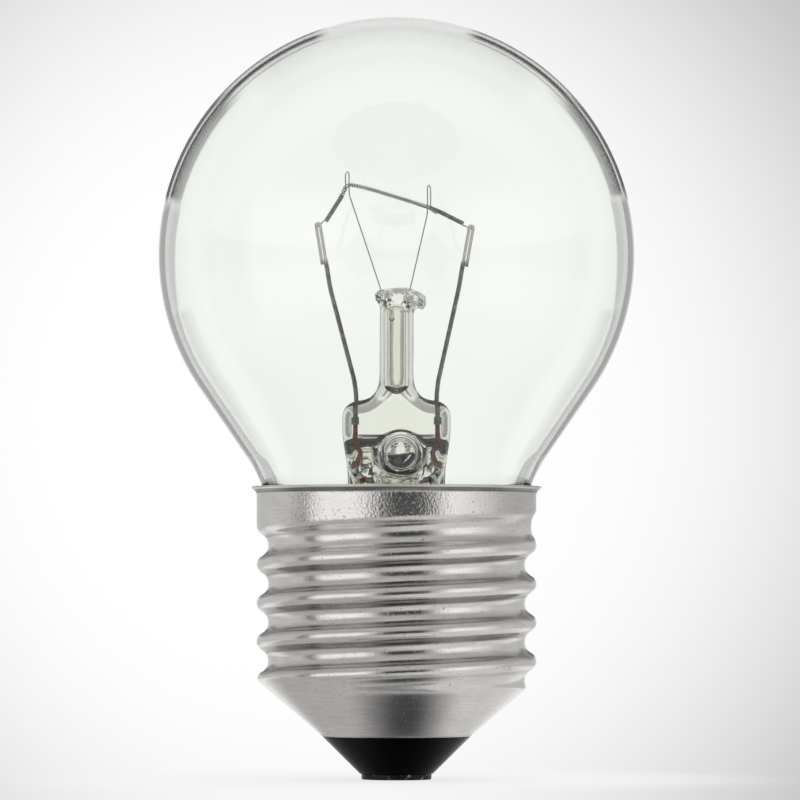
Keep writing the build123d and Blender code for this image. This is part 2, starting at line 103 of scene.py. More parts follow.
def add_piece(name, surface, nodes, normals=None):
    """A smooth mesh in metres from a surface in millimetres. It rides with the lamp, in place of the nodes
    named, and may be given the direction that each of its points faces."""
    points, quads, triangles = surface
    mesh = bpy.data.meshes.new(name)
    mesh.vertices.add(len(points))
    mesh.vertices.foreach_set("co", (points * mm).astype(np.float32).ravel())
    corners = np.concatenate([quads.ravel(), triangles.ravel()]).astype(np.int32)
    mesh.loops.add(len(corners))
    mesh.loops.foreach_set("vertex_index", corners)
    starts = np.concatenate([4 * np.arange(len(quads)), 4 * len(quads) + 3 * np.arange(len(triangles))])
    mesh.polygons.add(len(starts))
    mesh.polygons.foreach_set("loop_start", starts.astype(np.int32))
    mesh.update(calc_edges=True)
    mesh.validate()
    mesh.shade_smooth()
    if normals is not None:
        mesh.normals_split_custom_set_from_vertices(normals.tolist())
    piece = bpy.data.objects.new(name, mesh)
    bpy.context.scene.collection.objects.link(piece)
    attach(piece, "root")
    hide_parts(*nodes)
    print(name, "triangles:", 2 * len(quads) + len(triangles))
    return piece


def node_box(name):
    """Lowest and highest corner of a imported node, in millimetres."""
    low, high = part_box(name)
    return np.array(low) / mm, np.array(high) / mm


# %% [markdown]
# ## The blown globe
# The bulb is one wall of glass: a ball that runs into a straight shoulder, a soft bend at the rim of the
# cap, and a neck that is hidden in the cap. Light bends at both faces of the wall, so both are modelled.
# The profile goes down the inside from the crown and up the outside, and is turned about the axis.

# %% Profiles and lathes


def unit(vector):
    """A vector divided by its length, along the last axis."""
    return vector / np.linalg.norm(vector, axis=-1, keepdims=True)


def rounded_route(corners, bends, steps=16):
    """Straight runs between corners. An arc of the bend radius, tangent to both runs, takes each corner's
    place: its centre lies on the corner's bisector, bend / sin(half the corner's angle) away."""
    corners = np.array(corners, float)
    share = np.linspace(0, 1, steps)[:, None]
    runs = [corners[:1]]
    for before, corner, after, bend in zip(corners, corners[1:], corners[2:], bends):
        back, onward = unit(before - corner), unit(after - corner)
        half = np.arccos(np.clip(back @ onward, -1, 1)) / 2
        centre = corner + unit(back + onward) * bend / np.sin(half)
        first = corner + back * bend / np.tan(half) - centre
        last = corner + onward * bend / np.tan(half) - centre
        swing = np.pi - 2 * half
        arc = np.sin((1 - share) * swing) * first + np.sin(share * swing) * last
        runs.append(centre + arc / np.sin(swing))
    runs.append(corners[-1:])
    return np.concatenate(runs)


def spread(path, spacing):
    """Points at even distances along a path of straight steps."""
    lengths = np.linalg.norm(np.diff(path, axis=0), axis=1)
    reached = np.concatenate([[0], np.cumsum(lengths)])
    marks = np.linspace(0, reached[-1], max(int(reached[-1] / spacing), 2) + 1)
    return np.stack([np.interp(marks, reached, part) for part in path.T], axis=-1)


def lathe(profile, columns):
    """Turns a profile of (radius, height) about the z axis: x = r cos a, y = r sin a."""
    angle = np.linspace(0, 2 * np.pi, columns, endpoint=False)
    radius, height = profile[:, 0, None], profile[:, 1, None]
    return np.stack(np.broadcast_arrays(radius * np.cos(angle), radius * np.sin(angle), height), axis=-1)


# %% The globe's wall
glass_low, glass_high = node_box("glass_envelope")
globe_radius = (glass_high[1] - glass_low[1]) / 2
globe_height = glass_high[2] - globe_radius
seal_height = glass_low[2]
glass_wall = 0.6
shoulder_angle = np.radians(34.6)
neck_angle = np.radians(21)
bend_height = 29.2
shoulder_bend = 12.0
neck_radius = 10.604
neck_bend = 4.0
round_columns = 288
roll_share = 0.0008  # of the radius


def globe_profile(inset):
    """The outer profile from the sealed end to the crown, moved inwards by an inset square to itself:
    straight neck, cone, shoulder, and the arc of the ball from where the shoulder touches it."""
    radius = globe_radius - inset
    touch = np.array([radius * np.cos(shoulder_angle), globe_height - radius * np.sin(shoulder_angle)])
    bend_radius = touch[0] - (touch[1] - bend_height) * np.tan(shoulder_angle)
    neck = neck_radius - inset
    neck_top = bend_height - (bend_radius - neck) / np.tan(neck_angle)
    stem = rounded_route(
        [(neck, seal_height), (neck, neck_top), (bend_radius, bend_height), touch],
        [neck_bend + inset, shoulder_bend + inset],
    )
    climb = np.linspace(-shoulder_angle, np.pi / 2, 400)[1:]
    ball = np.stack([radius * np.cos(climb), globe_height + radius * np.sin(climb)], axis=-1)
    return np.concatenate([spread(stem, 0.45), spread(ball, 0.42)[:-1]])


outside = lathe(globe_profile(0.0), round_columns)
inside = lathe(globe_profile(glass_wall)[::-1], round_columns)
roll = np.sin(0.21 * inside[..., 0] + 0.8) * np.sin(0.17 * inside[..., 2]) + np.sin(0.19 * inside[..., 1])
inside[..., :2] *= 1 + roll_share * roll[..., None]
globe_grid = np.concatenate([inside, outside])
globe = add_piece("blown_globe", grid_surface(globe_grid), ["glass_envelope"])

# %% [markdown]
# ## The fused stem
# On the real lamp the flare, the press, the little tube and the button are melted into one lump of glass,
# with soft fillets, a pumping hole and a few bubbles. Booleans would leave hard seams. Here the lump is a
# field: a number for each point of space, negative in the glass, and rounded minimums melt one form into
# the next. A net of quads is laid over the places where the field is zero, and its corners are then moved
# on to them exactly.

# %% Fields that melt together


def melt(first, second, reach):
    """Union of two fields: the lesser, less h * h * reach / 4, where h = 1 - |difference| / reach."""
    meeting = np.maximum(reach - np.abs(first - second), 0) / reach
    return np.minimum(first, second) - meeting**2 * reach / 4


def hollow(first, second, reach):
    """The first field with the second taken away and the edge rounded: minus the union of minus the first
    and the second."""
    return -melt(-first, second, reach)


def ease(value):
    """Goes from 0 to 1 with level ends: 3 v^2 - 2 v^3."""
    share = np.clip(value, 0, 1)
    return share**2 * (3 - 2 * share)


def oval(x, y, width, depth, power):
    """Distance to a rounded oblong: q - 1 over the slope of q, where q to the power is the sum of |x/width|
    and |y/depth|, each to the power."""
    a = np.maximum(np.abs(x), 1e-6) / width
    b = np.maximum(np.abs(y), 1e-6) / depth
    q = (a**power + b**power) ** (1 / power)
    slope = np.hypot((a / q) ** (power - 1) / width, (b / q) ** (power - 1) / depth)
    return (q - 1) / slope


def topped(side, top, bend):
    """The part of a prism below its top, with the edge rounded: the length of both overshoots, less the
    bend."""
    across, above = side + bend, top + bend
    overshoot = np.hypot(np.maximum(across, 0), np.maximum(above, 0))
    return overshoot + np.minimum(np.maximum(across, above), 0) - bend


def capsule(x, y, z, start, end, radius):
    """Distance to the nearest point of a straight line from start to end, less a radius."""
    start, line = np.array(start, float), np.array(end, float) - np.array(start, float)
    gaps = [value - first for value, first in zip((x, y, z), start)]
    share = np.clip(sum(gap * step for gap, step in zip(gaps, line)) / (line @ line), 0, 1)
    return np.sqrt(sum((gap - share * step) ** 2 for gap, step in zip(gaps, line))) - radius


# %% The stem's field
rim_height = node_box("screw_shell")[1][2]
flare_radius = 4.6
flare_wall = 0.7
flare_bend = 5.2
bell_radius = neck_radius
bell_height = seal_height + flare_bend
press_half_width = 5.12
press_half_depth = 1.8
press_top = rim_height + 8.2
press_bend = 1.6
slot_top = rim_height + 3.3
slot_half_depth = 0.75
slot_bend = 0.4
hole_height = rim_height + 3.1
hole_side = 0.4
hole_radius = 1.35
boss_radius = 1.95
boss_front = -2.6
mouth_radius = 1.68
mouth_front = -4.2
mouth_lip = 0.4
arbor_radius = 1.6
arbor_bore = 0.82
arbor_melt = 2.4
button_low, button_high = node_box("arbor_tube")
button_middle = (button_low[0] + button_high[0]) / 2
button_half = (button_high[0] - button_low[0]) / 2
button_half_depth = 1.62
button_power = 2.7
exhaust_tip = node_box("exhaust_tube")[0][2]
exhaust_tip_radius = 0.35
exhaust_growth = 1.65
exhaust_bore = 1.3
taper_slope = 0.8  # keeps the slope of a tapered field below 1
bubbles = [  # x, y, z and radius
    (-0.42, -1.12, 43.4, 0.27),
    (1.75, -0.35, 45.1, 0.2),
    (-0.9, 0.3, 45.75, 0.12),
    (0.6, 0.5, 45.5, 0.14),
]


def bell_field(radius, z, bend):
    """Outside of a tube that opens into a bell: an arc about a circle of centres, and a flat rim beyond
    them."""
    centre = flare_radius + flare_bend
    arc = bend - np.hypot(radius - centre, z - bell_height)
    rim = z - bell_height + bend
    return np.where(radius > centre, rim, arc)


def press_field(x, y, z):
    """Flare and press: a round tube that is squeezed to an oblong, on its bell, and hollow up to a slot."""
    radius = np.hypot(x, y)
    width = flare_radius + (press_half_width - flare_radius) * ease((z - rim_height - 0.8) / 5.0)
    depth = flare_radius + (press_half_depth - flare_radius) * ease((z - rim_height) / 5.2)
    power = 2 + 3 * ease((z - rim_height) / 5.0)
    body = topped(oval(x, y, width, depth, power), z - press_top, press_bend)
    body = np.where(z > bell_height, body, bell_field(radius, z, flare_bend))
    bore = flare_radius - flare_wall
    slot_width = bore - 0.2 * ease((z - rim_height) / 3.0)
    slot_depth = bore + (slot_half_depth - bore) * ease((z - rim_height) / 3.2)
    slot_power = 2 + 0.6 * ease((z - rim_height) / 3.0)
    slot = topped(oval(x, y, slot_width, slot_depth, slot_power), z - slot_top, slot_bend)
    slot = np.where(z > bell_height, slot, bell_field(radius, z, flare_bend + flare_wall))
    return np.maximum(hollow(body, slot, 0.3), radius - bell_radius)


def button_field(x, y, z):
    """A flattened drop, thicker where it sags to the right, with low swells: the sum of |x/a|, |y/b| and
    |z/c|, each to one power, is 1 on its face."""
    along = x - button_middle
    level = button_high[2] - 1.0 - 0.05 * (along + button_half) - 0.06 * np.maximum(along, 0) ** 2
    thick = 0.9 + 0.06 * along + 0.05 * np.sin(2.4 * x + 0.6)
    a = np.abs(along / button_half)
    b = np.abs(y / button_half_depth)
    c = np.abs((z - level) / thick)
    swell = 0.05 * np.sin(2.7 * x + 1.1) * np.cos(2.9 * y + 0.3)
    swell = swell + 0.022 * np.sin(6.5 * x + 4.0 * z) * np.cos(5.5 * z - 2.0 * x)
    size = (a**button_power + b**button_power + c**button_power) ** (1 / button_power)
    return (size - 1) * 0.75 + swell


def stem_field(x, y, z):
    """The whole stem: press and little tube melted together and kept flat in front, then exhaust tube,
    pumping hole with its lip, button and bubbles."""
    radius = np.hypot(x, y)
    tube = np.maximum(radius - arbor_radius, np.maximum(z - button_high[2] + 0.9, press_top - 1.5 - z))
    glass = melt(press_field(x, y, z), tube, arbor_melt)
    faces = np.abs(y) - press_half_depth - 4.0 * (1 - ease((z - rim_height - 3.4) / 1.6))
    glass = hollow(glass, -faces, 0.2)
    narrowing = ease((z - exhaust_tip) / 3.2)
    pipe = (radius - exhaust_tip_radius - exhaust_growth * narrowing) * taper_slope
    pipe = np.maximum(pipe, np.maximum(exhaust_tip - z, z - hole_height))
    glass = melt(glass, pipe, 0.6)
    boss = capsule(x, y, z, (hole_side, 0.0, hole_height), (hole_side, boss_front, hole_height), boss_radius)
    glass = melt(glass, boss, 0.8)
    mouth = np.hypot(x - hole_side, z - hole_height)
    lip = np.hypot(mouth - mouth_radius, y - mouth_front) - mouth_lip
    glass = melt(glass, lip, 0.5)
    bore = (radius - exhaust_bore * ease((z - exhaust_tip - 0.9) / 2.4)) * taper_slope
    bore = np.maximum(np.maximum(bore, z - hole_height), exhaust_tip + 1.0 - z)
    passage = capsule(x, y, z, (hole_side, 0.0, hole_height), (hole_side, -9.0, hole_height), hole_radius)
    glass = hollow(glass, melt(bore, passage, 0.5), 0.35)
    glass = melt(glass, button_field(x, y, z), 0.5)
    canal = capsule(x, y, z, (0.0, 0.0, press_top + 1.35), (0.0, 0.0, button_high[2] - 2.5), arbor_bore)
    glass = hollow(glass, canal, 0.08)
    for bubble_x, bubble_y, bubble_z, bubble_radius in bubbles:
        ball = np.sqrt((x - bubble_x) ** 2 + (y - bubble_y) ** 2 + (z - bubble_z) ** 2) - bubble_radius
        glass = np.maximum(glass, -ball)
    return glass


# %% A net over a field


def surface_net(field, axes):
    """One corner in each cell of the grid that the zero of the field crosses, at the mean of the crossings on
    the cell's twelve edges, and one quad round each edge of the grid that it crosses."""
    grid = field(*np.meshgrid(*axes, indexing="ij"))
    inside = grid < 0
    steps = np.array([[i, j, k] for i in (0, 1) for j in (0, 1) for k in (0, 1)])
    shape = np.array(grid.shape) - 1
    wide, deep, tall = shape
    filled = sum(inside[i : i + wide, j : j + deep, k : k + tall].astype(int) for i, j, k in steps)
    cells = np.argwhere((filled > 0) & (filled < 8))
    number = np.full(shape, -1)
    number[tuple(cells.T)] = np.arange(len(cells))
    total, count = np.zeros((len(cells), 3)), np.zeros((len(cells), 1))
    pairs = [(a, b) for a in range(8) for b in range(a + 1, 8) if np.abs(steps[a] - steps[b]).sum() == 1]
    for a, b in pairs:
        low, high = cells + steps[a], cells + steps[b]
        from_value, to_value = grid[tuple(low.T)], grid[tuple(high.T)]
        crossed = ((from_value < 0) != (to_value < 0))[:, None]
        share = (from_value / np.where(crossed[:, 0], from_value - to_value, 1))[:, None]
        start = np.stack([axis[part] for axis, part in zip(axes, low.T)], axis=-1)
        end = np.stack([axis[part] for axis, part in zip(axes, high.T)], axis=-1)
        total += np.where(crossed, start + share * (end - start), 0)
        count += crossed
    quads = []
    for way in range(3):
        first, second = (way + 1) % 3, (way + 2) % 3
        one, two = np.eye(3, dtype=int)[[first, second]]
        near = np.moveaxis(inside, way, 0)
        edges = np.argwhere(near[:-1] != near[1:])
        places = np.insert(edges[:, 1:], way, edges[:, 0], axis=1)
        flat = places[:, [first, second]]
        places = places[((flat > 0) & (flat < shape[[first, second]])).all(axis=1)]
        round_edge = [places - one - two, places - two, places, places - one]
        quad = np.stack([number[tuple(place.T)] for place in round_edge], axis=-1)
        outward = inside[tuple(places.T)]
        quads.append(np.where(outward[:, None], quad, quad[:, ::-1]))
    return total / count, np.concatenate(quads)


def field_slope(field, points, step=0.01):
    """Gradient of a field by central differences along each axis."""
    moves = np.eye(3) * step
    rises = [field(*(points + move).T) - field(*(points - move).T) for move in moves]
    return np.stack(rises, axis=-1) / (2 * step)


# %% The stem's mesh
fine = 0.14
coarse_low = 0.33
coarse_side = 0.55
fine_half = 5.6
fine_low = rim_height - 1.2
margin = 0.6
settle_limit = 0.08
fine_x = np.arange(-fine_half, fine_half + fine / 2, fine)
wide = fine_half + np.cumsum(np.linspace(fine, coarse_side, 15))
across_axis = np.concatenate([-wide[::-1], fine_x, wide])
low_axis = np.arange(exhaust_tip - margin, fine_low, coarse_low)
high_axis = np.arange(fine_low, button_high[2] + margin, fine)
up_axis = np.concatenate([low_axis, high_axis])
net_points, net_quads = surface_net(stem_field, (across_axis, across_axis, up_axis))
for settle in range(4):
    slope = field_slope(stem_field, net_points)
    level = stem_field(*net_points.T)[:, None]
    move = level * slope / np.maximum((slope**2).sum(axis=1, keepdims=True), 0.05)
    net_points = net_points - np.clip(move, -settle_limit, settle_limit)
stem_normals = unit(field_slope(stem_field, net_points))
stem_surface = (net_points, net_quads, np.zeros((0, 3), int))
stem_nodes = ["stem_press", "arbor_tube", "exhaust_tube"]
stem = add_piece("glass_stem", stem_surface, stem_nodes, stem_normals)
furthest = float(np.abs(stem_field(*net_points.T)).max())
print("furthest corner from the field's zero, mm:", round(furthest, 4))

# %% [markdown]
# ## The rolled cap
# The cap is one thin sheet, drawn to a cup and rolled to a thread. Its outer radius at each turn and
# height is a formula: two tangent arcs for each pitch, wound round the axis, that fade out under the
# collar, then a flared lip above and a cone below. The same formula gives the inner face, one sheet
# further in.

# %% The shell's formula
thread_pitch = 3.629
thread_depth = 1.096
crest_radius = 13.2
groove_top = rim_height - 3.75
fade_start = -120.0
fade_end = 100.0
lip_height = 0.9
lip_flare = 0.75
foot_height = node_box("screw_shell")[0][2]
foot_radius = 6.95
foot_slope = np.tan(np.radians(49.4))
foot_blend = 0.5
sheet = 0.25
both_radii = ((thread_pitch / 2) ** 2 + thread_depth**2) / (2 * thread_depth)
root_share = 0.6
root_arc = root_share * both_radii
crest_arc = (1 - root_share) * both_radii
root_reach = thread_pitch / 2 * root_arc / both_radii


def thread_radius(turn, height):
    """Crest radius less a wave: the root's arc about the groove line, as far as the root's share of half a
    pitch, then the crest's arc. The wave fades to nothing over the last part turn under the collar."""
    place = (height - groove_top) / thread_pitch - turn / 360
    lap = np.floor(place + 0.5)
    strength = 1 - ease((turn + 360 * lap - fade_start) / (fade_end - fade_start))
    off = np.abs(place - lap) * thread_pitch
    root = thread_depth - root_arc + np.sqrt(np.maximum(root_arc**2 - off**2, 0))
    crest = crest_arc - np.sqrt(np.maximum(crest_arc**2 - (thread_pitch / 2 - off) ** 2, 0))
    return crest_radius - strength * np.where(off < root_reach, root, crest)


def shell_radius(turn, height):
    """The lesser of the flared barrel and the foot's cone, with their meeting rounded."""
    lift = np.maximum(height - rim_height + lip_height, 0) / lip_height
    barrel = thread_radius(turn, height) + lip_flare * lift**2.4
    return melt(barrel, foot_radius + (height - foot_height) * foot_slope, foot_blend)


# %% The shell's mesh
turns = np.linspace(0, 360, round_columns, endpoint=False)[None, :]
half_sheet = sheet / 2
edge_turn = np.linspace(0, np.pi, 7)[1:-1, None]
outer_rows = 186
inner_rows = 92
steepest = 2.1


def shell_faces(heights, step=0.01):
    """Outer and inner radius at each height and turn; the sheet's width across is its gauge times the
    slope's length, the root of 1 + slope squared."""
    outer = shell_radius(turns, heights)
    rise = (shell_radius(turns, heights + step) - shell_radius(turns, heights - step)) / (2 * step)
    return outer, outer - sheet * np.sqrt(1 + np.clip(rise, -steepest, steepest) ** 2)


outer_heights = np.linspace(foot_height, rim_height - half_sheet, outer_rows)[:, None]
inner_heights = np.linspace(rim_height - half_sheet, foot_height, inner_rows)[:, None]
outer_radius = shell_faces(outer_heights)[0]
inner_radius = shell_faces(inner_heights)[1]
lip_middle = (outer_radius[-1:] + inner_radius[:1]) / 2
lip_half = (outer_radius[-1:] - inner_radius[:1]) / 2
lip_radius = lip_middle + lip_half * np.cos(edge_turn)
lip_rise = rim_height - half_sheet + half_sheet * np.sin(edge_turn)
wave_height = 0.006
dents = np.random.default_rng(7)
waves = [(dents.integers(3, 9), dents.uniform(0.2, 0.7), dents.uniform(0, 6.28)) for swell in range(6)]


def handled(turn, height):
    """Low waves of a handled sheet, in millimetres: a few sines round the cap and along it, added up."""
    angle = np.radians(turn)
    return sum(wave_height * np.sin(count * angle + pace * height + start) for count, pace, start in waves)


shell_rows = np.concatenate([outer_radius, lip_radius, inner_radius])
shell_heights = np.concatenate([outer_heights, lip_rise, inner_heights]) + 0 * turns
shell_rows = shell_rows + handled(turns, shell_heights)
shell_x = shell_rows * np.cos(np.radians(turns))
shell_y = shell_rows * np.sin(np.radians(turns))
shell_points = np.stack([shell_x, shell_y, shell_heights], axis=-1)
shell = add_piece("rolled_cap", grid_surface(shell_points, ring=True), ["screw_shell"])
inner_row = np.arange(len(shell_rows)) >= len(outer_radius) + len(lip_radius)
inward = np.repeat(inner_row, shell_rows.shape[1]).astype(np.float32)
shell.data.attributes.new("inward", "FLOAT", "POINT").data.foreach_set("value", inward)

# %% [markdown]
# ## The coil
# The filament is a fine wire wound into a coil of 86 turns. It runs from one clamp up to the left hook,
# across to the right hook and down to the other clamp. A Curve object could draw it, but here each turn
# follows the pitch that the coil has there: the turns are a helix about that route, and a thin round
# section is carried along the helix.

# %% Tubes along paths


def tube(path, radius, sides, across):
    """A round section carried along a path: rings square to the path, the first axis of each ring being the
    path's direction crossed with a vector across it."""
    along = unit(np.gradient(path, axis=0))
    first = unit(np.cross(along, across))
    second = np.cross(along, first)
    angle = np.linspace(0, 2 * np.pi, sides, endpoint=False)[None, :, None]
    return path[:, None] + radius * (np.cos(angle) * first[:, None] + np.sin(angle) * second[:, None])


# %% The coil's mesh
left_tip = np.array([-7.3, 0.0, node_box("inner_lead_left")[1][2]])
right_tip = np.array([6.95, 0.0, node_box("inner_lead_right")[1][2]])
left_end = left_tip + (0.6, 0.55, 0.15)
right_end = right_tip + (-0.6, 0.55, 0.15)
left_hook = np.array([-4.7, 3.0, rim_height + 28.5])
right_hook = np.array([3.1, 3.0, rim_height + 26.75])
coil_radius = 0.168
coil_wire = 0.056
coil_sides = 6
coil_step = 0.01
coil_arch = 0.42
tight_pitch = 0.18
middle_slack = 0.03  # pitch added between the hooks
left_slack = 0.05  # and past the left hook
coil_route = spread(rounded_route([left_end, left_hook, right_hook, right_end], [0.5, 5.0]), coil_step)
coil_run = np.arange(len(coil_route)) * coil_step
span = np.clip((coil_run - 3.6) / 8.0, 0, 1)
coil_route[:, 2] += coil_arch * np.sin(np.pi * span**0.6) * (1 - 0.35 * span)
coil_along = unit(np.gradient(coil_route, axis=0))
coil_first = unit(np.cross(coil_along, (0.0, 1.0, 0.0)))
coil_second = np.cross(coil_along, coil_first)
coil_pitch = tight_pitch + middle_slack * ease((coil_run - 3.4) / 0.6) * ease((11.6 - coil_run) / 0.8)
coil_pitch = coil_pitch + left_slack * np.exp(-(((coil_run - 5.6) / 1.2) ** 2))
wound = 2 * np.pi * np.cumsum(coil_step / coil_pitch)[:, None]
coil_path = coil_route + coil_radius * (np.cos(wound) * coil_first + np.sin(wound) * coil_second)
coil_tubes = [grid_surface(tube(coil_path, coil_wire, coil_sides, coil_along))]
for start, tip, side in ((coil_path[0], left_tip, -1), (coil_path[-1], right_tip, 1)):
    eye = tip + (0.19 * side, 0.0, -0.4)
    leg = rounded_route([start, eye + (0.0, 0.45, 0.02), eye + (0.0, -0.5, 0.0)], [0.08])
    coil_tubes.append(grid_surface(tube(spread(leg, 0.06), coil_wire, coil_sides, (0.0, 0.3, 1.0))))
coil = add_piece("coil", join_surfaces(coil_tubes), ["filament"])
print("turns of the coil:", round(float(wound[-1, 0]) / (2 * np.pi)))

# %% [markdown]
# ## Shader maths
# A finish is a small graph of nodes. One class wraps a socket, so that the graph reads as arithmetic: a
# sum of two sockets adds a Math node, and any other node comes from one method with its settings and its
# inputs.

# %% Sockets as numbers


class Signal:
    """An output socket of a node tree, with the operators that add Math nodes."""

    def __init__(self, tree, socket):
        self.tree = tree
        self.socket = socket

    def node(self, kind, settings, inputs, output=0):
        """Adds a node of a type: its settings first, ramp stops among them, then the values or links of its
        sockets."""
        made = self.tree.nodes.new(kind)
        for name, setting in settings.items():
            if name == "stops":
                for spare in range(len(setting) - 2):
                    made.color_ramp.elements.new(0.5)
                for element, (place, colour) in zip(made.color_ramp.elements, setting):
                    element.position = place
                    element.color = (*colour, 1)
            else:
                setattr(made, name, setting)
        for name, given in inputs.items():
            if isinstance(given, Signal):
                self.tree.links.new(given.socket, made.inputs[name])
            else:
                made.inputs[name].default_value = given
        return Signal(self.tree, made.outputs[output])

    def maths(self, operation, first, second=0.0):
        """A Math node on two signals or numbers."""
        return self.node("ShaderNodeMath", {"operation": operation}, {0: first, 1: second})

    def __add__(self, other):
        return self.maths("ADD", self, other)

    def __sub__(self, other):
        return self.maths("SUBTRACT", self, other)

    def __rsub__(self, other):
        return self.maths("SUBTRACT", other, self)

    def __mul__(self, other):
        return self.maths("MULTIPLY", self, other)

    def __truediv__(self, other):
        return self.maths("DIVIDE", self, other)

    __radd__ = __add__
    __rmul__ = __mul__

    def rise(self, low, high):
        """Goes smoothly from 0 to 1 while the signal goes from low to high."""
        limits = {"Value": self, "From Min": low, "From Max": high}
        return self.node("ShaderNodeMapRange", {"interpolation_type": "SMOOTHSTEP"}, limits)

    def between(self, low, high, edge):
        """1 between two limits, falling smoothly to 0 over an edge beyond each."""
        return self.rise(low - edge, low) * (1 - self.rise(high, high + edge))

    def axes(self):
        """The three parts of a vector."""
        return [self.node("ShaderNodeSeparateXYZ", {}, {0: self}, part) for part in range(3)]

    def root(self):
        """The square root of a signal that is kept above nothing."""
        return self.maths("SQRT", self.larger(0.000001))

    def larger(self, other):
        """The larger of two signals."""
        return self.maths("MAXIMUM", self, other)

    def blend(self, first, second):
        """A colour between two, the signal being the share of the second."""
        return self.node("ShaderNodeMix", {"data_type": "RGBA"}, {0: self, 6: first, 7: second}, 2)


# %% Materials


def new_finish(name, **constants):
    """A material with one Principled shader, its constants set on the shader's own sockets, and the place on
    the piece in millimetres."""
    material = bpy.data.materials.new(name)
    material.use_nodes = True
    tree = material.node_tree
    shader = tree.nodes["Principled BSDF"]
    for socket, value in constants.items():
        shader.inputs[socket.replace("_", " ")].default_value = value
    coordinates = Signal(tree, tree.nodes.new("ShaderNodeTexCoord").outputs["Object"])
    place = coordinates.node("ShaderNodeMapping", {}, {"Vector": coordinates, "Scale": (1000, 1000, 1000)})
    return material, shader, place


def grain(place, scale, detail=3.0, stretch=(1, 1, 1)):
    """Noise of so many swells to the millimetre, drawn out along the axes whose stretch is small."""
    pulled = place.node("ShaderNodeMapping", {}, {"Vector": place, "Scale": stretch})
    return place.node("ShaderNodeTexNoise", {}, {"Vector": pulled, "Scale": scale, "Detail": detail})


def set_finish(shader, **signals):
    """Links signals to the sockets of a shader; a height goes through a Bump node to its normal."""
    for socket, signal in signals.items():
        if socket == "height":
            relief = {"Height": signal, "Strength": 1.0, "Distance": mm}
            signal, socket = signal.node("ShaderNodeBump", {}, relief), "Normal"
        signal.tree.links.new(signal.socket, shader.inputs[socket.replace("_", " ")])


def wear(pieces, material):
    """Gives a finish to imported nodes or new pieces."""
    for piece in pieces:
        piece.data.materials.clear()
        piece.data.materials.append(material)
    print(material.name, "on", *(piece.name for piece in pieces))


# %% [markdown]
# ## The glass
# Clear glass has no colour of its own from the front, and a green-grey tint where the sight line runs
# along the wall. The ball was blown, so its faces roll a little, which bends the edges of what is seen in
# it. The stem is a softer glass, faintly warmer, with cords and streaks from the melting. A see-through
# shader would be quicker, but the bending of light draws the rim and the stem, so both are true glass.

# %% Clear and fused glass
clear, clear_shader, place = new_finish("clear_glass", Transmission_Weight=1.0, IOR=1.5, Roughness=0.0)
cast = grain(place, 0.08, 1.0)
set_finish(clear_shader, Base_Color=cast.blend((0.979, 1.0, 0.97, 1), (0.99, 1.0, 0.98, 1)))
wear([globe], clear)

fused, fused_shader, place = new_finish("fused_glass", Transmission_Weight=1.0, IOR=1.54, Roughness=0.0)
streak = grain(place, 0.7, 2.0, (1, 1, 0.25))
set_finish(
    fused_shader,
    Base_Color=streak.blend((0.88, 0.88, 0.81, 1), (0.95, 0.95, 0.905, 1)),
    height=grain(place, 0.8, 2.0, (1, 1, 0.3)) * 0.03,
)
wear([stem], fused)

# %% [markdown]
# ## The cap's metal
# The sheet is satin aluminium. Rolling drew fine lines round it, handling left pits and dull specks, and the
# plain collar keeps the grain of the sheet. A painted picture would need a flat layout of the thread, so it
# is noise in colour and roughness, with a very low relief. Painted shade follows the flanks of the thread by
# its own formula, with a painted dark line under the lip and a painted darker right side on the collar. The
# inner face is painted dark brown as shade in the hollow of the cap, and an attribute of the mesh marks it.

# %% Rolled sheet
sheet_metal, sheet_shader, place = new_finish("rolled_sheet", Metallic=1.0)
across, depth, height = place.axes()
collar = height.rise(23.4, 24.6)
foot_edge = 1 - height.rise(4.15, 4.4)
lines = grain(place, 1.0, 3.0, (0.35, 0.35, 7.0))
pits = grain(place, 5.0, 2.0).rise(0.66, 0.76)
clouds = grain(place, 0.35, 3.0)
tone = (lines * 0.5 + clouds * 0.5).rise(0.3, 0.7)
bare = tone.blend((0.78, 0.76, 0.738, 1), (0.925, 0.905, 0.882, 1))
turn = height.maths("ARCTAN2", depth, across) / (2 * np.pi)
lap = height.maths("FRACT", (height - float(groove_top)) / thread_pitch - turn)
thread = (1 - height.rise(22.6, 23.6)) * height.rise(9.6, 10.4)
# painted shade: dark lines along the flanks of the thread and a dark line under the lip
painted_flank_shade = (lap.between(0.2, 0.3, 0.06) * 0.7 + lap.between(0.68, 0.76, 0.1) * 0.3) * thread
painted_flank_shade = painted_flank_shade.larger(height.between(27.0, 27.3, 0.08) * 0.8)
bare = (painted_flank_shade * (0.6 + 0.8 * clouds)).blend(bare, (0.125, 0.115, 0.105, 1))
# painted shade: the collar is darkened towards its right side
bare = (collar * across.rise(4.0, 9.0) * 0.22).blend(bare, (0.12, 0.115, 0.11, 1))
inward = place.node("ShaderNodeAttribute", {"attribute_name": "inward"}, {}, "Fac")
# painted shade: the inner face, in the hollow of the cap, is painted dark brown
bare = inward.blend(pits.blend(bare, (0.3, 0.29, 0.28, 1)), (0.1, 0.085, 0.07, 1))
dull = 0.1 + 0.1 * clouds + 0.06 * lines + 0.2 * pits + 0.05 * collar
swells = grain(place, 1.6, 2.0) * 0.012
sheet_grain = grain(place, 4.4, 1.0) * (0.004 + 0.032 * collar)
set_finish(
    sheet_shader,
    Base_Color=bare,
    Roughness=dull + 0.4 * foot_edge.larger(inward),
    height=lines * 0.003 - pits * 0.02 + swells + sheet_grain,
)
wear([shell], sheet_metal)
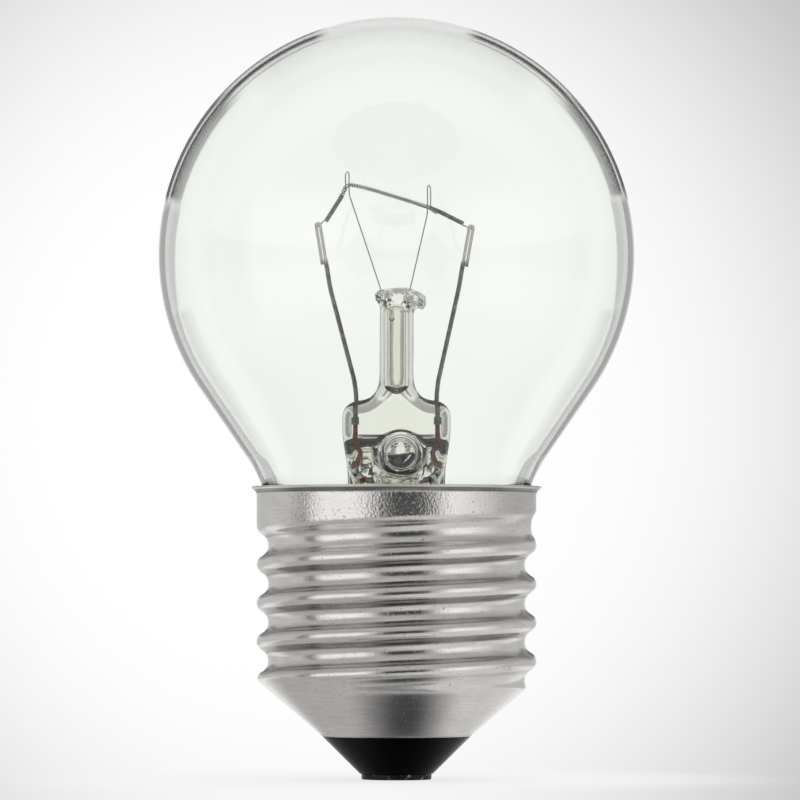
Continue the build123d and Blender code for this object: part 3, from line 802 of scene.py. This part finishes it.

# %% [markdown]
# ## Black glass, contact and solder
# The plug in the foot is opaque black glass that was pressed hot, so it is glossy with a slight swell.
# The contact is a stamped disc painted dark for the shadow at the foot, with bright specks, the solder is
# dull tin, and the cement is crumbly and brown. The solids of these pieces already have the right form, so
# they only get a finish.

# %% Foot finishes
black, black_shader, place = new_finish("black_glass", IOR=1.52, Specular_IOR_Level=0.06)
haze = grain(place, 0.9, 4.0)
set_finish(
    black_shader,
    Base_Color=haze.blend((0.0006, 0.0006, 0.0007, 1), (0.0018, 0.0018, 0.002, 1)),
    Roughness=0.1 + 0.16 * haze,
    height=grain(place, 0.5, 2.0) * 0.03,
)
wear([packed["insulator"]], black)

# painted shade: the contact disc is painted near black for the shadow at the foot
dark, dark_shader, place = new_finish("dark_contact", Metallic=1.0)
rubbed = grain(place, 1.6, 4.0).rise(0.52, 0.66)
set_finish(
    dark_shader,
    Base_Color=rubbed.blend((0.035, 0.033, 0.03, 1), (0.3, 0.28, 0.25, 1)),
    Roughness=0.45 - 0.15 * rubbed,
    height=grain(place, 3.0, 3.0) * 0.02,
)
wear([packed["contact_plate"]], dark)

tin, tin_shader, place = new_finish("tin_solder", Metallic=1.0)
dull = grain(place, 2.0, 3.0)
set_finish(
    tin_shader,
    Base_Color=dull.blend((0.4, 0.4, 0.41, 1), (0.62, 0.62, 0.63, 1)),
    Roughness=0.25 + 0.25 * dull,
    height=grain(place, 1.2, 2.0) * 0.05,
)
wear([packed["centre_solder"], packed["side_solder"]], tin)

baked, baked_shader, place = new_finish("baked_cement", Roughness=0.9)
crumbs = grain(place, 2.4, 4.0)
set_finish(
    baked_shader,
    Base_Color=crumbs.blend((0.3, 0.23, 0.15, 1), (0.52, 0.43, 0.31, 1)),
    height=crumbs * 0.12,
)
wear([packed["basing_cement"]], baked)

# %% [markdown]
# ## The wires
# The leads are nickel-plated and have gone dull and brown-grey in the heat, but for their clamps. The
# seal wires are red where the copper shows through the glass, the hooks are thin light wire, the coil is
# grey, and the outer wires are copper. They differ only in tone and gloss, so one function makes all
# their finishes.

# %% Wire finishes
clamp_foot = (48.4, 49.2)


def wire_finish(name, low, high, rough, metallic, tip=None):
    """A drawn wire: two tones in clouds, rougher where it is lighter, and a tone of its own above the clamp's
    foot."""
    material, shader, place = new_finish(name, Metallic=metallic)
    cloud = grain(place, 1.8, 4.0)
    tone = cloud.rise(0.35, 0.65).blend(low, high)
    if tip:
        tone = place.axes()[2].rise(*clamp_foot).blend(tone, tip)
    set_finish(
        shader,
        Base_Color=tone,
        Roughness=rough + 0.2 * cloud,
        height=grain(place, 6.0, 2.0) * 0.006,
    )
    return material


low_nickel, high_nickel, clamp_nickel = (0.16, 0.155, 0.145, 1), (0.3, 0.285, 0.265, 1), (0.9, 0.87, 0.8, 1)
nickel = wire_finish("dull_nickel", low_nickel, high_nickel, 0.22, 1.0, clamp_nickel)
wear([packed["inner_lead_left"], packed["inner_lead_right"]], nickel)
red_copper = wire_finish("red_copper", (0.4, 0.06, 0.025, 1), (0.65, 0.16, 0.07, 1), 0.4, 0.4)
wear([packed["seal_wire_left"], packed["seal_wire_right"]], red_copper)
hook_wire = wire_finish("hook_wire", (0.5, 0.5, 0.5, 1), (0.66, 0.66, 0.66, 1), 0.3, 1.0)
wear([packed["support_wire_left"], packed["support_wire_right"]], hook_wire)
coil_metal = wire_finish("coil_metal", (0.26, 0.26, 0.267, 1), (0.48, 0.48, 0.49, 1), 0.25, 0.95)
wear([coil], coil_metal)
bare_copper = wire_finish("bare_copper", (0.5, 0.2, 0.09, 1), (0.7, 0.34, 0.19, 1), 0.25, 1.0)
wear([packed["outer_lead_side"], packed["outer_lead_centre"]], bare_copper)

# %% [markdown]
# ## The studio
# Clear glass and bright metal are drawn by what they mirror and let through. A studio could be built from
# lit planes, but the world can also be a formula of direction, and each kind of ray then gets its own
# view of it. The camera sees a pale backdrop, brightest behind the lamp. Mirrored rays see a soft panel
# at each side, a dark room in front and a grey ceiling. Rays through glass see a white field with dark
# flags at its upper corners, grey wings at its sides and a shade below. The rim of a ball gathers what
# lies far off the sight line, so these draw the dark lines in the rim. Scattered light is even.

# %% Kinds of rays


def ray_kinds(tree):
    """1 where a ray comes from the camera, off a mirror or through glass, each as a signal of its own."""
    path = tree.nodes.new("ShaderNodeLightPath")
    kinds = ("Is Camera Ray", "Is Glossy Ray", "Is Transmission Ray")
    return [Signal(tree, path.outputs[kind]) for kind in kinds]


world = bpy.data.worlds.new("studio")
bpy.context.scene.world = world
world.use_nodes = True
tree = world.node_tree
sight = Signal(tree, tree.nodes.new("ShaderNodeTexCoord").outputs["Generated"])
side, deep, up = sight.axes()
camera_ray, mirror_ray, glass_ray = ray_kinds(tree)
print("world:", world.name)

# %% The backdrop
# the sight line to the brightest place, as a direction, and how closely a ray follows it
ahead = deep * 0.9994 + up * 0.032 - side * 0.012
patch = ahead.rise(0.9925, 0.9995)
backdrop_level = 0.82
backdrop = backdrop_level - 0.32 * ahead.rise(0.93, 0.99) + 0.5 * patch
backdrop = backdrop - 0.03 * (side.rise(-0.08, 0.08) - 0.5)
print("backdrop away from the lamp:", backdrop_level)

# %% Panels for mirrored rays
# the compass angle from straight ahead, to the right, and the level there
panel_edges = [
    (-180, 0.04), (-172, 0.04), (-150, 1.0), (-108, 0.95), (-100, 0.2), (-93, 0.2),
    (-88, 0.56), (-16, 0.56), (-10, 0.9), (10, 0.9), (16, 0.54), (82, 0.54),
    (94, 0.72), (122, 1.0), (134, 1.0), (158, 0.04), (180, 0.04),
]
ceiling_level = 0.44
floor_level = 0.6
around = side.maths("ARCTAN2", side, deep) / (2 * np.pi) + 0.5
stops = [(angle / 360 + 0.5, (level, level, level)) for angle, level in panel_edges]
ring = around.node("ShaderNodeValToRGB", {"stops": stops}, {"Fac": around})
panels = ring.node("ShaderNodeRGBToBW", {}, {"Color": ring})
high = up.rise(0.15, 0.55)
low = 1 - up.rise(-0.5, -0.36)
studio = panels * (1 - high) + (ceiling_level + 0.12 * up.rise(0.7, 0.95)) * high
studio = studio * (1 - low) + floor_level * low
print("panel edges:", len(panel_edges))

# %% The field beyond the glass
# off is the sine of the angle from the middle of the globe, and slant is the share of it that points up
lift = up - 0.059
off = (side * side + lift * lift).root()
slant = lift / off
corner = slant.between(0.25, 0.93, 0.03) * deep.rise(0.0, 0.1)
upper = slant.rise(0.6, 0.72)
gap = off.between(0.335, 0.375, 0.01) * (1 - upper)
wedge = off.between(0.225, 0.335, 0.012) * upper
strip = off.between(0.165, 0.2, 0.012).larger(off.between(0.55, 0.66, 0.03)) * corner * (1 - upper)
flags = off.between(0.2, 0.55 - 0.07 * upper, 0.015) * corner * (1 - gap) * (1 - wedge)
below = off.rise(0.16, 0.2) * (1 - slant.rise(-0.85, -0.75)) * deep.rise(0.0, 0.1)
wing_edge = 0.195 - 0.045 * slant.rise(-0.45, 0.0)
wings = off.between(wing_edge, 0.46, 0.006) * slant.between(-0.7, 0.19, 0.06)
far = (1 - deep.rise(0.3, 0.5)) * up.rise(-0.14, -0.06)
beyond = 1.0 - (0.5 + 0.2 * off.rise(0.26, 0.28)) * wings - 0.18 * off.rise(0.47, 0.5)
beyond = beyond + (0.4 - beyond) * far
beyond = beyond * (1 - 0.65 * strip) * (1 - 0.98 * flags) * (1 - 0.6 * below)
shaded = (0.9 - 0.4 * off.rise(0.2, 0.26)) * (1 - off.rise(0.5, 0.6)) * (1 - gap) * corner
studio = studio * (1 - shaded)
print("nodes of the world:", len(tree.nodes))

# %% Light by the kind of ray
even_light = 0.85
light = even_light + (studio - even_light) * mirror_ray
light = light + (beyond - light) * glass_ray
light = light + (backdrop - light) * camera_ray
background = tree.nodes["Background"]
tree.links.new(light.socket, background.inputs["Color"])
background.inputs["Strength"].default_value = 1.0
print("even light:", even_light)

# %% [markdown]
# ## The table
# The table is a pale disc that keeps the shadow. A hard edge would draw a horizon, so the disc fades into
# the backdrop. The cap mirrors the table and the glass bends it, so mirrored rays and rays through glass get
# painted tones of their own: a painted shadow as a dark spot and a dark band in front of the foot, painted
# shade in front for rays through glass, and a bright floor behind. The camera gets a plain floor.

# %% The table's mesh
table_reach = 150.0
table_rows = 24
table_columns = 96
table_rings = np.linspace(2.0, table_reach, table_rows)
table_profile = np.stack([table_rings, np.zeros(table_rows)], axis=-1)
table_points, table_quads, table_ends = grid_surface(lathe(table_profile, table_columns))
table_mesh = bpy.data.meshes.new("table")
table_faces = [*table_quads.tolist(), *table_ends[:table_columns].tolist()]
table_mesh.from_pydata((table_points[:-1] * mm).tolist(), [], table_faces)
table_mesh.flip_normals()
table = bpy.data.objects.new("table", table_mesh)
bpy.context.scene.collection.objects.link(table)
table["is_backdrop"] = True
print("table faces:", len(table_faces))

# %% The table's finish
pale, pale_shader, place = new_finish("pale_table", Roughness=0.7)
speck = grain(place, 0.4, 3.0)
set_finish(pale_shader, Base_Color=speck.blend((0.86, 0.86, 0.855, 1), (0.9, 0.9, 0.895, 1)))
tree = pale.node_tree
camera_ray, mirror_ray, glass_ray = ray_kinds(tree)
across, depth = place.axes()[:2]
distance = (across * across + depth * depth).root()
glow = place.node("ShaderNodeEmission", {}, {"Color": (1.0, 1.0, 0.995, 1), "Strength": 1.0})
# painted shadow for mirrored rays: a dark spot under the cap's cone and a dark band in front of the foot
spot_side, spot_depth = 1.3, -8.7
aside, ahead_of = across - spot_side, depth - spot_depth
from_spot = (aside * aside + ahead_of * ahead_of).root()
open_floor = across.rise(-14.0, 14.0).blend((0.42, 0.42, 0.42, 1), (0.64, 0.64, 0.63, 1))
open_floor = depth.rise(2.0, 26.0).blend(open_floor, (0.92, 0.92, 0.91, 1))
under = from_spot.rise(1.0, 9.5).blend((0.02, 0.02, 0.026, 1), open_floor)
painted_shadow_band = distance.between(16.8, 21.0, 1.4) * across.between(-7.0, 7.0, 4.0) * (1 - depth.rise(-12.0, -6.0))
under = (painted_shadow_band * 0.6).blend(under, (0.03, 0.03, 0.03, 1))
# painted shade for rays through glass: the floor in front of the foot is painted darker
through = depth.rise(-6.0, 16.0).blend((0.3, 0.3, 0.3, 1), (0.76, 0.76, 0.76, 1))
under = glass_ray.blend(under, through)
mirrored = place.node("ShaderNodeEmission", {}, {"Color": under, "Strength": 1.0})
own = Signal(tree, pale_shader.outputs[0])
shown = place.node("ShaderNodeMixShader", {}, {0: camera_ray * 0.75, 1: own, 2: glow})
bent = mirror_ray.larger(glass_ray) * 0.9
shown = place.node("ShaderNodeMixShader", {}, {0: bent, 1: shown, 2: mirrored})
clear_edge = place.node("ShaderNodeBsdfTransparent", {}, {})
far_edge = distance.rise(30.0, 110.0)
edge = far_edge + (distance.rise(12.0, 42.0) - far_edge) * camera_ray
faded = place.node("ShaderNodeMixShader", {}, {0: edge, 1: shown, 2: clear_edge})
tree.links.new(faded.socket, tree.nodes["Material Output"].inputs["Surface"])
wear([table], pale)

# %% [markdown]
# ## The camera
# The photograph was taken with a long lens, nearly level with the cap: the ellipses of the thread are
# almost closed there, and the crown shows no upper side. The frame is 800 by 800, about 76 mm high at the
# lamp.

# %% Camera and view
photo_side = 800.0  # pixels
photo_scale = 0.0944  # mm to a pixel
photo_axis = 396.5
photo_floor = 779.0
sensor = 36.0
camera_distance = 550.0
camera_height = 17.0
middle_height = (photo_floor - photo_side / 2) * photo_scale
middle_side = (photo_side / 2 - photo_axis) * photo_scale
camera_data = bpy.data.cameras.new("camera")
camera_data.sensor_width = sensor
camera_data.lens = sensor * camera_distance / (photo_side * photo_scale)
camera_data.clip_start = 0.01
camera = bpy.data.objects.new("camera", camera_data)
camera.location = Vector((middle_side, -camera_distance, camera_height)) * mm
aim = Vector((0, camera_distance, middle_height - camera_height))
camera.rotation_euler = aim.to_track_quat("-Z", "Y").to_euler()
bpy.context.scene.collection.objects.link(camera)
bpy.context.scene.camera = camera
bpy.context.scene.view_settings.view_transform = "Standard"
print("lens in mm:", round(camera_data.lens, 1))

# %% [markdown]
# ## Sizes at the end
# The box of the dressed lamp is printed in millimetres. The dressed lamp has to stay in
# the box of the solids.

# %% Print the sizes
low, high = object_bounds()
print("visual box in mm:", [round(value / mm, 2) for value in (*low, *high)])
